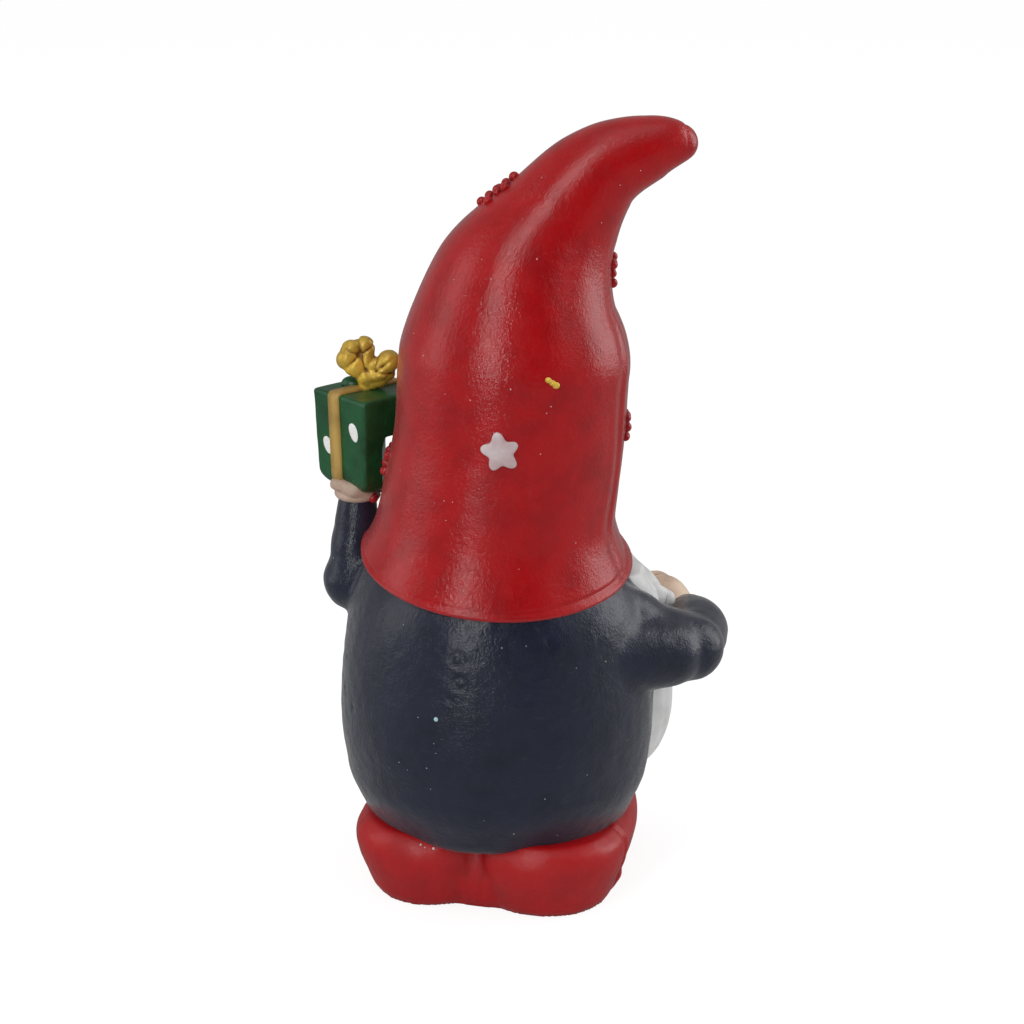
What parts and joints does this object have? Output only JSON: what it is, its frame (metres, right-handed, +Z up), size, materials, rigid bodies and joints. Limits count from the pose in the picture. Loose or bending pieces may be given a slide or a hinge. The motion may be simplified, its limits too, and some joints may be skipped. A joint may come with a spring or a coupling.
{
  "type": "garden_gnome",
  "caption": "Small painted garden gnome figurine in a tall curled red hat, navy coat and red boots, with a white beard, holding up a green present with a gold bow.",
  "frame": {"origin": "middle of the flat sole, between the boots", "axes": "+Z up, the figure faces -Y, its left hand is at +X"},
  "size_m": [0.0633, 0.0514, 0.1178],
  "materials": {
    "painted_resin": "hand painted satin gloss"
  },
  "bodies": {
    "root": {"gnome": "painted_resin"}
  },
  "joints": []
}
